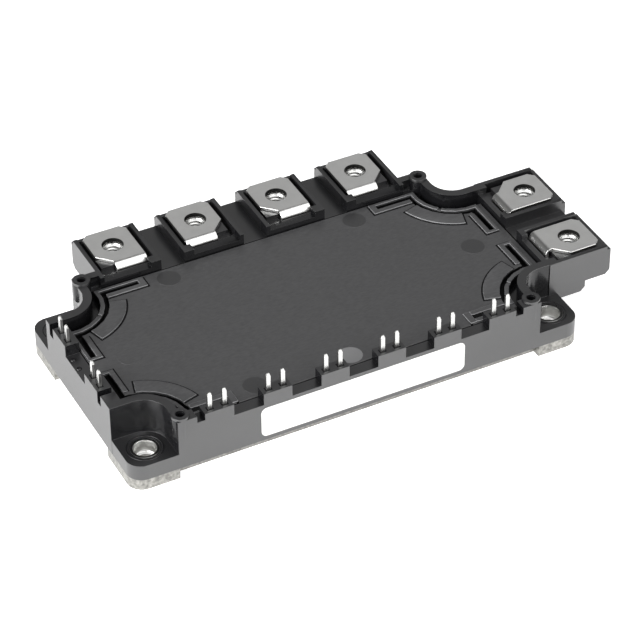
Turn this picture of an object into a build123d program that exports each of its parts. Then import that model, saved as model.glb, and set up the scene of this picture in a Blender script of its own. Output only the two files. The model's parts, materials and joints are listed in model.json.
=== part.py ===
"""Power module on a metal base, with six screw terminals and sixteen control pins.

Millimetres, +Z up. The base stands on z = 0 and the origin is the middle of the four mounting
holes. +X runs along the long side, towards the pair of end terminals; +Y points to the row of
four terminals at the back.
"""
import os
from math import atan2, cos, degrees, hypot, radians, sin

from build123d import *

# Base plate. Between its four ears the edges step in.
BASE_LENGTH = 121.7
BASE_WIDTH = 62.0
BASE_THICKNESS = 3.0
BASE_CORNER_R = 4.0
LONG_SIDE_STEP = 2.3
SHORT_SIDE_STEP = 1.85
EAR_LENGTH_X = 12.05
EAR_LENGTH_Y = 15.0
MOUNT_EDGE_X = 5.85
MOUNT_EDGE_Y = 6.0
MOUNT_HOLE_D = 5.5

# Sleeves in the ears of the case
BUSH_OUTER_D = 7.2
BUSH_INNER_D = 5.6
BUSH_SIDE_COUNT = 12
EAR_TOP_Z = 7.3

# Moulded case
CASE_OVERHANG = 0.05
WALL_TOP_Z = 13.8
TOP_Z = 17.0
WELL_R = 6.0
RIM_THICKNESS = 2.2
TOWER_REACH = 11.1
BACK_TOWER_WALL = 2.0
NOTCH_REACH = 13.2
NOTCH_FLOOR_Z = 15.2
END_TOWER_LENGTH = 5.3

# Hollow inside the case. A ledge round it carries the inner ends of terminals and pins.
LEFT_WALL = 4.9
RIGHT_WALL = 3.7
LONG_WALL = 4.5
HOLLOW_CORNER = 5.0
LEFT_LEDGE = 7.8
RIGHT_LEDGE = 7.5
LONG_LEDGE = 3.5
LEDGE_Z = 9.2

# Screw bosses for a circuit board
BOSS_INWARDS = 7.75
BOSS_OUTWARDS = 3.75
BOSS_D = 4.5
BOSS_SIDE_COUNT = 12
BOSS_TOP_Z = 17.6
BOSS_HOLE_D = 2.3
BOSS_HOLE_DEPTH = 8.0

# Lid
LID_TOP_Z = 13.9
LID_THICKNESS = 2.0
LID_SEAT = 1.2
LID_GAP = 0.3
LID_PAD_HEIGHT = 0.35
LID_SIDE_COUNT = 24
ARC_OUTER_R = 16.5
ARC_HALF_ANGLE = 29.0
LID_SLOT_DEPTH = 1.6
LID_SLOT_WIDTH = 1.6
LID_BANK = 0.8
SIDE_BANK = 1.3
BACK_BANK = 1.4
SIDE_SLOT_INSET = 0.7
SLOT_OVERRUN = 1.6
LID_RIB = 1.05
CORNER_GROOVE_WIDTH = 1.2
RIB_BREAK = 0.9
SIDE_SLOT_START = 3.5
BACK_SLOT_START = 33.4
BACK_SLOT_Y = 24.6
FRONT_GROOVE_WIDTH = 0.6
FRONT_GROOVE_DEPTH = 0.5
FRONT_GROOVE_START = 31.4
FRONT_GROOVE_INSET = 3.2

# Main terminals and the blocks that carry them
TERMINAL_END_ROOM = 20.71
TERMINAL_ROW_OUT = 7.94
END_TERMINAL_OUT = 7.78
END_TERMINAL_SPACING = 22.0
STRIP_THICKNESS = 1.0
TONGUE_WIDTH = 12.0
TONGUE_CHAMFER = 1.5
TONGUE_HOLE_D = 5.6
NECK_CUT = 3.5
BEND_R = 1.9
ROW_TIP = 6.6
END_TIP = 5.8
LEG_FACE = 8.2
LEAD_WIDTH = 2.5
LEAD_INSET = 0.5
LEAD_FOOT_INSET = 2.0
END_LEAD_FOOT_INSET = 1.5
BLOCK_HALF_WIDTH = 8.25
ROW_BLOCK_OUT = 7.16
END_BLOCK_OUT = 7.37
BLOCK_BOTTOM_Z = 8.4
BLOCK_EDGE = 1.2
WEB_INSET = 1.0
FIN_THICKNESS = 1.1
FIN_INSET = 1.0
POST_WIDTH = 2.7
CHANNEL_DEPTH = 2.5
CROSS_WALL_DROP = 0.6
NECK_SLOT_INNER = 0.5
NECK_SLOT_LENGTH = 2.2
NECK_SLOT_FLOOR_Z = 13.0
END_SKIRT_OUT = 8.1
END_SKIRT_Z = 5.4

# Nuts under the terminals
NUT_ACROSS_FLATS = 8.0
NUT_HEIGHT = 4.0
NUT_BORE_D = 4.2
NUT_CLEARANCE = 0.1
SCREW_ROOM = 5.6
SCREW_ROOM_DEPTH = 2.4

# Control pins, in pairs on small blocks
PIN_WIDTH = 1.15
PIN_THICKNESS = 0.8
PIN_TOP_Z = 21.76
PIN_TIP_LENGTH = 0.8
PIN_TIP_TAPER = 16.0
PIN_PITCH = 3.81
PIN_INSET = 1.5
FRONT_GROUPS = 6
FRONT_GROUP_END_ROOM = 16.9
LEFT_GROUP_YS = (10.945, -8.105)
PIN_BLOCK_WIDTH = 7.5
FRONT_FOOT_INSET = 1.8
LEFT_FOOT_INSET = 1.1

# Label on the front wall
LABEL_LENGTH = 55.0
LABEL_HEIGHT = 8.55
LABEL_CENTRE_X = 0.1
LABEL_CENTRE_Z = 8.475
LABEL_CORNER = 0.8
LABEL_THICKNESS = 0.12

# Seal between case and base plate
BEAD_HEIGHT = 0.6
BEAD_INNER = 0.5
BEAD_OUTER = 1.7

# Insulating substrates, each with copper on both sides
SUBSTRATE_END_ROOM = 10.9
SUBSTRATE_GAP = 2.0
SUBSTRATE_WIDTH = 36.0
BOTTOM_FOIL_THICKNESS = 0.4
CERAMIC_THICKNESS = 0.4
TOP_FOIL_THICKNESS = 0.3
FOIL_MARGIN = 1.0
ISLAND_GAP = 1.0
ISLAND_INSET = 3.1
MIDDLE_ISLAND_WIDTH = 16.0
LOW_ISLAND_Y = -11.5
LOW_ISLAND_WIDTH = 3.0
HIGH_ISLAND_Y = 9.0
HIGH_SPLITS = (8.5, 0.5, 9.5)
PIN_ISLAND_WIDTH = 3.0
PIN_ISLAND_LENGTH = 3.0
SIDE_ISLAND_LENGTH = 2.3
CHIP_THICKNESS = 0.25
IGBT_SIZE = 7.5
DIODE_SIZE = 5.5
BRAKE_IGBT_SIZE = 5.5
BRAKE_DIODE_SIZE = 4.0
CHIP_XS = (-5.0, 6.5)
IGBT_Y = 3.7
DIODE_Y = -4.3
BRAKE_Y = 13.0
BRAKE_IGBT_ASIDE = 4.79
BRAKE_DIODE_ASIDE = 10.49
THERMISTOR_LENGTH = 2.0
THERMISTOR_WIDTH = 1.0
THERMISTOR_HEIGHT = 0.6
THERMISTOR_INSET = 1.7

# Bond ribbons and gel
RIBBON_WIDTH = 2.5
RIBBON_THICKNESS = 0.3
RIBBON_RISE = 1.0
RIBBON_LAP = 1.0
RIBBON_LAND_X = 2.2
RIBBON_UPPER_YS = (2.2, -3.6)
RIBBON_LOWER_YS = (-4.6, -11.4)
BRAKE_RIBBON_LAP = 1.1
GEL_TOP_Z = 8.0

CORNERS = ((-1, -1), (1, -1), (-1, 1), (1, 1))
MOUNT_X = BASE_LENGTH / 2 - MOUNT_EDGE_X
MOUNT_Y = BASE_WIDTH / 2 - MOUNT_EDGE_Y
TERMINAL_PITCH = 2 * (MOUNT_X - TERMINAL_END_ROOM) / 3
FRONT_GROUP_PITCH = 2 * (MOUNT_X - FRONT_GROUP_END_ROOM) / (FRONT_GROUPS - 1)
CASE_X = BASE_LENGTH / 2 + CASE_OVERHANG
CASE_Y = BASE_WIDTH / 2
HOLLOW_LEFT_X = CASE_X - LEFT_WALL
HOLLOW_RIGHT_X = CASE_X - RIGHT_WALL
HOLLOW_Y = CASE_Y - LONG_WALL
PIT_LEFT_X = HOLLOW_LEFT_X - LEFT_LEDGE
PIT_RIGHT_X = HOLLOW_RIGHT_X - RIGHT_LEDGE
PIT_Y = HOLLOW_Y - LONG_LEDGE
BOSS_X = MOUNT_X - BOSS_INWARDS
BOSS_Y = MOUNT_Y + BOSS_OUTWARDS
LID_UNDER_Z = LID_TOP_Z - LID_THICKNESS
PLATFORM_Z = TOP_Z - STRIP_THICKNESS
TERMINAL_ROW_Y = CASE_Y + TERMINAL_ROW_OUT
END_TERMINAL_X = CASE_X + END_TERMINAL_OUT
FRONT_PIN_Y = PIN_INSET - CASE_Y
LEFT_PIN_X = PIN_INSET - CASE_X
BLOCK_INNER_Y = HOLLOW_Y + LID_SEAT
BLOCK_INNER_X = HOLLOW_RIGHT_X + LID_SEAT
FOIL_Z = BASE_THICKNESS + BOTTOM_FOIL_THICKNESS + CERAMIC_THICKNESS + TOP_FOIL_THICKNESS
CHIP_TOP_Z = FOIL_Z + CHIP_THICKNESS
GEL_UNDER_Z = CHIP_TOP_Z + RIBBON_RISE
SUBSTRATE_PITCH = (PIT_LEFT_X + PIT_RIGHT_X - SUBSTRATE_END_ROOM) / 3
SUBSTRATE_LENGTH = SUBSTRATE_PITCH - SUBSTRATE_GAP
FOIL_X = SUBSTRATE_LENGTH / 2 - FOIL_MARGIN
FOIL_Y = SUBSTRATE_WIDTH / 2 - FOIL_MARGIN
LEAD_END_Y = FOIL_Y - LEAD_FOOT_INSET
LEAD_END_X = SUBSTRATE_PITCH + FOIL_X - END_LEAD_FOOT_INSET
FRONT_FOOT_Y = FRONT_FOOT_INSET - FOIL_Y
LEFT_FOOT_X = LEFT_FOOT_INSET - SUBSTRATE_PITCH - FOIL_X

# Each main terminal: name, hole x, hole y, turn about Z, side of the cut corner
TERMINALS = (
    ("terminal_b", -1.5 * TERMINAL_PITCH, TERMINAL_ROW_Y, 0, -1),
    ("terminal_u", -0.5 * TERMINAL_PITCH, TERMINAL_ROW_Y, 0, 1),
    ("terminal_v", 0.5 * TERMINAL_PITCH, TERMINAL_ROW_Y, 0, -1),
    ("terminal_w", 1.5 * TERMINAL_PITCH, TERMINAL_ROW_Y, 0, 1),
    ("terminal_p", END_TERMINAL_X, END_TERMINAL_SPACING / 2, -90, -1),
    ("terminal_n", END_TERMINAL_X, -END_TERMINAL_SPACING / 2, -90, 1),
)

FRONT_GROUP_XS = [FRONT_GROUP_PITCH * (k - (FRONT_GROUPS - 1) / 2) for k in range(FRONT_GROUPS)]
FRONT_PIN_XS = [x + s * PIN_PITCH / 2 for x in FRONT_GROUP_XS for s in (-1, 1)]
LEFT_PIN_YS = [y + s * PIN_PITCH / 2 for y in LEFT_GROUP_YS for s in (1, -1)]
SUBSTRATE_XS = (-SUBSTRATE_PITCH, 0.0, SUBSTRATE_PITCH)


def rect(x0, x1, y0, y1):
    """A rectangle given by its limits."""
    return Pos((x0 + x1) / 2, (y0 + y1) / 2) * Rectangle(x1 - x0, y1 - y0)


def box(x0, x1, y0, y1, z0, z1):
    """A box given by its limits."""
    return Pos((x0 + x1) / 2, (y0 + y1) / 2, (z0 + z1) / 2) * Box(x1 - x0, y1 - y0, z1 - z0)


def prism(plan, z0, z1):
    """A flat plan raised from z0 to z1."""
    return Pos(0, 0, z0) * extrude(plan, z1 - z0)


def rod(x, y, diameter, z0, z1):
    """An upright cylinder."""
    return Pos(x, y, (z0 + z1) / 2) * Cylinder(diameter / 2, z1 - z0)


def corner_plan(grow, flats=0):
    """The four corner areas about the mounting holes, open towards the outside.

    Each has a round inner corner, or one of straight flats where a coarser bend will do.
    """
    reach = WELL_R + grow
    middle = RegularPolygon(reach, flats, major_radius=False) if flats else Circle(reach)
    middle = Rot(0, 0, 180 / flats) * middle if flats else middle
    far_x = CASE_X + 5
    far_y = CASE_Y + 5
    plan = None
    for sx, sy in CORNERS:
        area = Pos(sx * MOUNT_X, sy * MOUNT_Y) * middle
        xs = sorted((sx * (MOUNT_X - reach), sx * far_x))
        ys = sorted((sy * MOUNT_Y, sy * far_y))
        area = area + rect(*xs, *ys)
        xs = sorted((sx * MOUNT_X, sx * far_x))
        ys = sorted((sy * (MOUNT_Y - reach), sy * far_y))
        area = area + rect(*xs, *ys)
        plan = area if plan is None else plan + area
    return plan


def base_plan():
    """Outline of the base plate with its rounded corners."""
    return RectangleRounded(BASE_LENGTH, BASE_WIDTH, BASE_CORNER_R)


def inside_plan(grow, flats=0):
    """Plan of the hollow in the case, made wider all round by grow."""
    plan = rect(-HOLLOW_LEFT_X - grow, HOLLOW_RIGHT_X + grow, -HOLLOW_Y - grow, HOLLOW_Y + grow)
    return plan - corner_plan(HOLLOW_CORNER - grow, flats)


def pit_plan():
    """Plan of the hollow below the ledge."""
    return inside_plan(0, 8) & rect(-PIT_LEFT_X, PIT_RIGHT_X, -PIT_Y, PIT_Y)


def make_base():
    """Metal base plate."""
    ear_x = BASE_LENGTH / 2 - EAR_LENGTH_X
    ear_y = BASE_WIDTH / 2 - EAR_LENGTH_Y
    edge_y = BASE_WIDTH / 2 - LONG_SIDE_STEP
    edge_x = BASE_LENGTH / 2 - SHORT_SIDE_STEP
    plan = base_plan()
    for side in (-1, 1):
        ys = sorted((side * edge_y, side * BASE_WIDTH))
        plan = plan - rect(-ear_x, ear_x, *ys)
        xs = sorted((side * edge_x, side * BASE_LENGTH))
        plan = plan - rect(*xs, -ear_y, ear_y)
    plate = prism(plan, 0, BASE_THICKNESS)
    for sx, sy in CORNERS:
        plate = plate - rod(sx * MOUNT_X, sy * MOUNT_Y, MOUNT_HOLE_D, -1, BASE_THICKNESS + 1)
    return plate


def bush_body(sx, sy):
    """Outer shape of one sleeve; its many flats keep it from turning in the plastic."""
    plan = RegularPolygon(BUSH_OUTER_D / 2, BUSH_SIDE_COUNT, major_radius=False)
    return Pos(sx * MOUNT_X, sy * MOUNT_Y, 0) * prism(plan, BASE_THICKNESS, EAR_TOP_Z)


def make_bushes():
    """The four sleeves round the mounting holes."""
    sleeves = []
    for sx, sy in CORNERS:
        bore = rod(sx * MOUNT_X, sy * MOUNT_Y, BUSH_INNER_D, 0, EAR_TOP_Z + 1)
        sleeves.append(bush_body(sx, sy) - bore)
    return Compound(children=sleeves)


def terminal_sizes(turn):
    """Distances from the hole of a terminal: block inner side, block outer side, tip, lead end."""
    if turn == 0:
        inner = TERMINAL_ROW_Y - BLOCK_INNER_Y
        return inner, ROW_BLOCK_OUT, ROW_TIP, TERMINAL_ROW_Y - LEAD_END_Y
    inner = END_TERMINAL_X - BLOCK_INNER_X
    return inner, END_BLOCK_OUT, END_TIP, END_TERMINAL_X - LEAD_END_X


def make_terminal(x, y, turn, cut_side):
    """Screw terminal: tongue with a hole, neck bent down, narrow lead down to the substrate."""
    tip, lead_end = terminal_sizes(turn)[2:]
    half = TONGUE_WIDTH / 2
    side = cut_side * half
    neck = cut_side * (half - NECK_CUT)
    shoulder = BEND_R - LEG_FACE
    corner = cut_side * (half - TONGUE_CHAMFER)
    outline = Polyline(
        (-side, -LEG_FACE),
        (-side, tip - TONGUE_CHAMFER),
        (-corner, tip),
        (corner, tip),
        (side, tip - TONGUE_CHAMFER),
        (side, shoulder + NECK_CUT),
        (neck, shoulder),
        (neck, -LEG_FACE),
        close=True,
    )
    strip = prism(make_face(outline), PLATFORM_Z, TOP_Z)
    across = sorted((neck, -side))
    leg_back = STRIP_THICKNESS - LEG_FACE
    strip = strip + box(*across, -LEG_FACE, leg_back, LEDGE_Z, TOP_Z)
    bend = strip.edges().filter_by(Axis.X).group_by(Axis.Z)[-1].sort_by(Axis.Y)[0]
    strip = fillet(bend, BEND_R)
    strip = strip + box(*across, -LEG_FACE - 3, leg_back, LEDGE_Z, LEDGE_Z + STRIP_THICKNESS)
    lead = sorted((neck - cut_side * LEAD_INSET, neck - cut_side * (LEAD_INSET + LEAD_WIDTH)))
    strip = strip + box(*lead, -lead_end, -LEG_FACE, LEDGE_Z, LEDGE_Z + STRIP_THICKNESS)
    strip = strip + box(*lead, -lead_end, STRIP_THICKNESS - lead_end, FOIL_Z, LEDGE_Z + 0.5)
    strip = strip - rod(0, 0, TONGUE_HOLE_D, PLATFORM_Z - 1, TOP_Z + 1)
    return Pos(x, y, 0) * Rot(0, 0, turn) * strip


def make_nut(x, y, turn, across_flats, bore):
    """Hexagon nut under a terminal, with its top against the tongue."""
    plan = RegularPolygon(across_flats / 2, 6, major_radius=False)
    if bore > 0:
        plan = plan - Circle(bore / 2)
    nut = prism(plan, PLATFORM_Z - NUT_HEIGHT, PLATFORM_Z)
    return Pos(x, y, 0) * Rot(0, 0, turn) * nut


def make_nuts():
    """The six nuts."""
    nuts = []
    for name, x, y, turn, cut_side in TERMINALS:
        nuts.append(make_nut(x, y, turn, NUT_ACROSS_FLATS, NUT_BORE_D))
    return Compound(children=nuts)


def make_pin(x, y, turn, inner_end):
    """Control pin: upright blade with a tapered tip, and an arm inwards that steps down."""
    half = PIN_WIDTH / 2
    thick = PIN_THICKNESS / 2
    shoulder = PIN_TOP_Z - PIN_TIP_LENGTH
    blade = box(-half, half, -thick, thick, LEDGE_Z, shoulder)
    tip = extrude(Rectangle(PIN_WIDTH, PIN_THICKNESS), PIN_TIP_LENGTH, taper=PIN_TIP_TAPER)
    arm = box(-half, half, -thick, inner_end, LEDGE_Z, LEDGE_Z + PIN_THICKNESS)
    foot = box(-half, half, inner_end - PIN_THICKNESS, inner_end, FOIL_Z, LEDGE_Z)
    pin = blade + Pos(0, 0, shoulder) * tip + arm + foot
    return Pos(x, y, 0) * Rot(0, 0, turn) * pin


def make_pins():
    """All control pins, first the front row from the left, then the left end from the back."""
    pins = []
    for x in FRONT_PIN_XS:
        pins.append(make_pin(x, FRONT_PIN_Y, 0, FRONT_FOOT_Y - FRONT_PIN_Y))
    for y in LEFT_PIN_YS:
        pins.append(make_pin(LEFT_PIN_X, y, -90, LEFT_FOOT_X - LEFT_PIN_X))
    return pins


def shelf(u0, u1, v0, v1, z0, z1):
    """A box whose lower outer edge is cut off at 45 degrees; v points outwards."""
    body = box(u0, u1, v0, v1, z0, z1)
    edge = body.edges().filter_by(Axis.X).group_by(Axis.Z)[0].sort_by(Axis.Y)[-1]
    return chamfer(edge, BLOCK_EDGE)


def block_solid(turn, cut_side):
    """Terminal block about its screw hole, with two fins and a post beside the neck."""
    inner, outer = terminal_sizes(turn)[:2]
    width = BLOCK_HALF_WIDTH
    half = TONGUE_WIDTH / 2
    body = shelf(-width, width, 0, outer, BLOCK_BOTTOM_Z, PLATFORM_Z)
    body = body + box(-width, width, -inner, 0, WALL_TOP_Z - 1, PLATFORM_Z)
    body = body - box(-width, width, -inner, -LEG_FACE, PLATFORM_Z - CROSS_WALL_DROP, PLATFORM_Z)
    for side in (-1, 1):
        us = sorted((side * (width - FIN_THICKNESS), side * half))
        channel = box(*us, -LEG_FACE, outer - FIN_INSET, PLATFORM_Z - CHANNEL_DEPTH, PLATFORM_Z)
        us = sorted((side * (width - FIN_THICKNESS), side * width))
        body = body - channel + box(*us, -inner, outer - FIN_INSET, PLATFORM_Z - 1, TOP_Z)
    us = sorted((-cut_side * (width - POST_WIDTH), -cut_side * width))
    post_end = -LEG_FACE - NECK_SLOT_INNER
    return body + box(*us, -inner, post_end, PLATFORM_Z - 1, TOP_Z)


def block_holes(x, y, turn):
    """What one terminal block has cut out: nut pocket, screw room and slot for the neck."""
    half = TONGUE_WIDTH / 2
    start = -LEG_FACE - NECK_SLOT_INNER
    slot = box(-half, half, start, start + NECK_SLOT_LENGTH, NECK_SLOT_FLOOR_Z, PLATFORM_Z)
    nut_floor = PLATFORM_Z - NUT_HEIGHT
    side = SCREW_ROOM / 2
    room = box(-side, side, -side, side, nut_floor - SCREW_ROOM_DEPTH, nut_floor)
    holes = Pos(x, y, 0) * Rot(0, 0, turn) * (slot + room)
    return holes + make_nut(x, y, turn, NUT_ACROSS_FLATS + NUT_CLEARANCE, 0)


def terminal_blocks():
    """The row of four blocks at the back and the pair at the right end, with the webs between."""
    row_x = 1.5 * TERMINAL_PITCH + BLOCK_HALF_WIDTH
    row_end = TERMINAL_ROW_Y + ROW_BLOCK_OUT - WEB_INSET
    blocks = shelf(-row_x, row_x, CASE_Y - 1, row_end, BLOCK_BOTTOM_Z, WALL_TOP_Z)
    pair_y = END_TERMINAL_SPACING / 2 + BLOCK_HALF_WIDTH
    pair_end = END_TERMINAL_X + END_BLOCK_OUT - WEB_INSET
    web = shelf(-pair_y, pair_y, CASE_X - 1, pair_end, BLOCK_BOTTOM_Z, WALL_TOP_Z)
    skirt = shelf(-pair_y, pair_y, CASE_X - 1, CASE_X + END_SKIRT_OUT, END_SKIRT_Z, WALL_TOP_Z)
    blocks = blocks + Rot(0, 0, -90) * (web + skirt)
    for name, x, y, turn, cut_side in TERMINALS:
        blocks = blocks + Pos(x, y, 0) * Rot(0, 0, turn) * block_solid(turn, cut_side)
    return blocks


def towers():
    """The raised parts of the outer wall: corner towers, notches and pin blocks."""
    wall_y = HOLLOW_Y + LID_SEAT
    wall_x = HOLLOW_LEFT_X + LID_SEAT
    tower_end = MOUNT_X - WELL_R
    low = WALL_TOP_Z - 1
    row_end = 1.5 * TERMINAL_PITCH + BLOCK_HALF_WIDTH
    raised = None
    for sx, sy in CORNERS:
        start = MOUNT_X - TOWER_REACH if sy < 0 else row_end
        inner_y = wall_y if sy < 0 else CASE_Y - BACK_TOWER_WALL
        xs = sorted((sx * start, sx * tower_end))
        ys = sorted((sy * inner_y, sy * CASE_Y))
        tower = box(*xs, *ys, low, TOP_Z)
        raised = tower if raised is None else raised + tower
    for sx in (-1, 1):
        xs = sorted((sx * (MOUNT_X - NOTCH_REACH), sx * (MOUNT_X - TOWER_REACH)))
        raised = raised + box(*xs, -CASE_Y, -wall_y, low, NOTCH_FLOOR_Z)
    end_y = MOUNT_Y - WELL_R
    raised = raised + box(-CASE_X, -wall_x, -end_y, END_TOWER_LENGTH - end_y, low, TOP_Z)
    half = PIN_BLOCK_WIDTH / 2
    for x in FRONT_GROUP_XS:
        raised = raised + box(x - half, x + half, -CASE_Y, -wall_y, low, TOP_Z)
    for y in LEFT_GROUP_YS:
        raised = raised + box(-CASE_X, -wall_x, y - half, y + half, low, TOP_Z)
    return raised


def make_label():
    """Paper label on the front wall."""
    plan = Rectangle(LABEL_LENGTH, LABEL_HEIGHT)
    plan = chamfer(plan.vertices(), LABEL_CORNER)
    sheet = extrude(Plane.XZ * Pos(LABEL_CENTRE_X, LABEL_CENTRE_Z) * plan, LABEL_THICKNESS)
    return Pos(0, -CASE_Y, 0) * sheet


def make_bead():
    """Bead of adhesive in a groove under the case."""
    plan = inside_plan(BEAD_OUTER, 8) - inside_plan(BEAD_INNER, 8)
    return prism(plan, BASE_THICKNESS, BASE_THICKNESS + BEAD_HEIGHT)


def make_case(inserts):
    """Moulded case, cut out round everything that is moulded into it."""
    outline = rect(-CASE_X, CASE_X, -CASE_Y, CASE_Y)
    wells = corner_plan(0)
    case = prism(outline - wells, BASE_THICKNESS, WALL_TOP_Z)
    rims = (corner_plan(RIM_THICKNESS) - wells) & outline
    case = case + prism(rims, WALL_TOP_Z - 1, TOP_Z)
    case = case + prism(base_plan() & wells, BASE_THICKNESS, EAR_TOP_Z)
    case = case + terminal_blocks() + towers()
    inner = rect(-HOLLOW_LEFT_X - LID_SEAT, BLOCK_INNER_X, -BLOCK_INNER_Y, BLOCK_INNER_Y)
    moats = inner & (corner_plan(HOLLOW_CORNER) - corner_plan(RIM_THICKNESS))
    case = case - prism(moats, LID_UNDER_Z, WALL_TOP_Z)
    bosses = []
    boss_holes = []
    for sx, sy in CORNERS:
        x = sx * BOSS_X
        y = sy * BOSS_Y
        plan = Pos(x, y) * RegularPolygon(BOSS_D / 2, BOSS_SIDE_COUNT)
        bosses.append(prism(plan, LID_UNDER_Z - 1, BOSS_TOP_Z))
        boss_holes.append(rod(x, y, BOSS_HOLE_D, BOSS_TOP_Z - BOSS_HOLE_DEPTH, BOSS_TOP_Z))
        case = case - bush_body(sx, sy)
    case = case + [boss - prism(wells, 0, TOP_Z * 2) for boss in bosses]
    case = case - boss_holes
    case = case - prism(pit_plan(), 0, LEDGE_Z)
    case = case - prism(inside_plan(0, 8), LEDGE_Z, LID_UNDER_Z)
    case = case - prism(inside_plan(LID_SEAT), LID_UNDER_Z, WALL_TOP_Z)
    for name, x, y, turn, cut_side in TERMINALS:
        case = case - block_holes(x, y, turn)
    return case - inserts


def arc_pads():
    """Raised arc plates of the lid, one round each corner."""
    pads = None
    for sx, sy in CORNERS:
        turn = atan2(-sy, -sx)
        spread = radians(ARC_HALF_ANGLE)
        reach = ARC_OUTER_R * 1.5
        wedge = Polyline(
            (0, 0),
            (reach * cos(turn - spread), reach * sin(turn - spread)),
            (reach * cos(turn + spread), reach * sin(turn + spread)),
            close=True,
        )
        pad = Pos(sx * MOUNT_X, sy * MOUNT_Y) * (Circle(ARC_OUTER_R) & make_face(wedge))
        pads = pad if pads is None else pads + pad
    return pads


def corner_ring(inner, outer):
    """Plan of the bands round the mounting holes, between two radii."""
    wide = corner_plan(outer - WELL_R, LID_SIDE_COUNT)
    return wide - corner_plan(inner - WELL_R, LID_SIDE_COUNT)


def make_lid():
    """Lid whose deep groove runs from the back slots round the corners into the side slots."""
    lid_plan = inside_plan(LID_SEAT - LID_GAP, LID_SIDE_COUNT)
    lid = prism(lid_plan, LID_UNDER_Z, LID_TOP_Z)
    rib_inner = WELL_R + HOLLOW_CORNER - LID_SEAT + LID_GAP
    rib_outer = rib_inner + LID_RIB
    groove_outer = rib_outer + CORNER_GROOVE_WIDTH
    slot_x = MOUNT_X - SIDE_SLOT_INSET
    slot_y = BACK_SLOT_Y
    width = LID_SLOT_WIDTH
    reach_x = MOUNT_X - rib_inner
    reach_y = MOUNT_Y - rib_inner
    bank_x = slot_x + width + LID_BANK
    bank_y = slot_y + width + LID_BANK
    raised = arc_pads() + (corner_ring(rib_inner, rib_outer) & rect(-bank_x, bank_x, -MOUNT_Y, bank_y))
    cut_area = rect(LID_BANK - bank_x, bank_x - LID_BANK, -MOUNT_Y, bank_y - LID_BANK)
    cuts = corner_ring(rib_outer, groove_outer) & cut_area
    grooves = []
    for side in (-1, 1):
        xs = sorted((side * (BACK_SLOT_START - 2 * LID_BANK), side * reach_x))
        raised = raised + rect(*xs, slot_y - BACK_BANK, bank_y)
        xs = sorted((side * BACK_SLOT_START, side * (MOUNT_X - groove_outer + 0.5)))
        cuts = cuts + rect(*xs, slot_y, slot_y + width)
        for end in (-1, 1):
            ys = sorted((end * SIDE_SLOT_START, end * reach_y))
            xs = sorted((side * (slot_x - SIDE_BANK), side * bank_x))
            bank_ends = (SIDE_SLOT_START - LID_BANK, reach_y - 2 * SLOT_OVERRUN)
            raised = raised + rect(*xs, *sorted((end * bank_ends[0], end * bank_ends[1])))
            xs = sorted((side * (slot_x + width), side * bank_x))
            raised = raised + rect(*xs, *ys)
            xs = sorted((side * slot_x, side * (slot_x + width)))
            cuts = cuts + rect(*xs, *sorted((end * SIDE_SLOT_START, end * (reach_y - SLOT_OVERRUN))))
        front = FRONT_GROOVE_INSET - BLOCK_INNER_Y
        xs = sorted((side * FRONT_GROOVE_START, side * (MOUNT_X - groove_outer + 0.5)))
        grooves.append(rect(*xs, front, front + FRONT_GROOVE_WIDTH))
        xs = sorted((side * FRONT_GROOVE_START, side * (FRONT_GROOVE_START + FRONT_GROOVE_WIDTH)))
        grooves.append(rect(*xs, -BLOCK_INNER_Y, front))
    lid = lid + prism(raised & lid_plan, LID_TOP_Z - 0.5, LID_TOP_Z + LID_PAD_HEIGHT)
    lid = lid - prism(cuts, LID_TOP_Z - LID_SLOT_DEPTH, LID_TOP_Z + 1)
    for plan in grooves:
        lid = lid - prism(plan, LID_TOP_Z - FRONT_GROOVE_DEPTH, LID_TOP_Z + 1)
    for sx, sy in CORNERS:
        turn = degrees(atan2(-sy, -sx))
        notch = box(0, rib_outer, -RIB_BREAK / 2, RIB_BREAK / 2, LID_TOP_Z, LID_TOP_Z + 1)
        lid = lid - Pos(sx * MOUNT_X, sy * MOUNT_Y, 0) * Rot(0, 0, turn) * notch
    return lid


def make_substrate(index):
    """Bottom foil, ceramic and top foil islands of one substrate."""
    cx = SUBSTRATE_XS[index]
    half_x = SUBSTRATE_LENGTH / 2
    half_y = SUBSTRATE_WIDTH / 2
    z0 = BASE_THICKNESS
    z1 = z0 + BOTTOM_FOIL_THICKNESS
    z2 = z1 + CERAMIC_THICKNESS
    bottom = box(cx - FOIL_X, cx + FOIL_X, -FOIL_Y, FOIL_Y, z0, z1)
    ceramic = box(cx - half_x, cx + half_x, -half_y, half_y, z1, z2)
    left = cx - FOIL_X
    right = cx + FOIL_X
    island_left = left
    areas = []
    if index == 0:
        island_left = left + ISLAND_INSET
        for y in LEFT_PIN_YS:
            half = PIN_ISLAND_WIDTH / 2
            areas.append((left, left + SIDE_ISLAND_LENGTH, y - half, y + half))
    half = MIDDLE_ISLAND_WIDTH / 2
    gap = ISLAND_GAP / 2
    areas.append((island_left, cx - gap, -half, half))
    areas.append((cx + gap, right, -half, half))
    low = LOW_ISLAND_Y - LOW_ISLAND_WIDTH / 2
    areas.append((island_left, right, low, low + LOW_ISLAND_WIDTH))
    split = cx + HIGH_SPLITS[index]
    areas.append((island_left, split - ISLAND_GAP, HIGH_ISLAND_Y, FOIL_Y))
    areas.append((split, right, HIGH_ISLAND_Y, FOIL_Y))
    half = PIN_ISLAND_WIDTH / 2
    for x in FRONT_PIN_XS:
        if left < x < right:
            areas.append((x - half, x + half, -FOIL_Y, PIN_ISLAND_LENGTH - FOIL_Y))
    islands = [box(*area, z2, FOIL_Z) for area in areas]
    return bottom, ceramic, Compound(children=islands)


def chip(x, y, size):
    """A bare chip soldered on the top foil."""
    half = size / 2
    return box(x - half, x + half, y - half, y + half, FOIL_Z, CHIP_TOP_Z)


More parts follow.
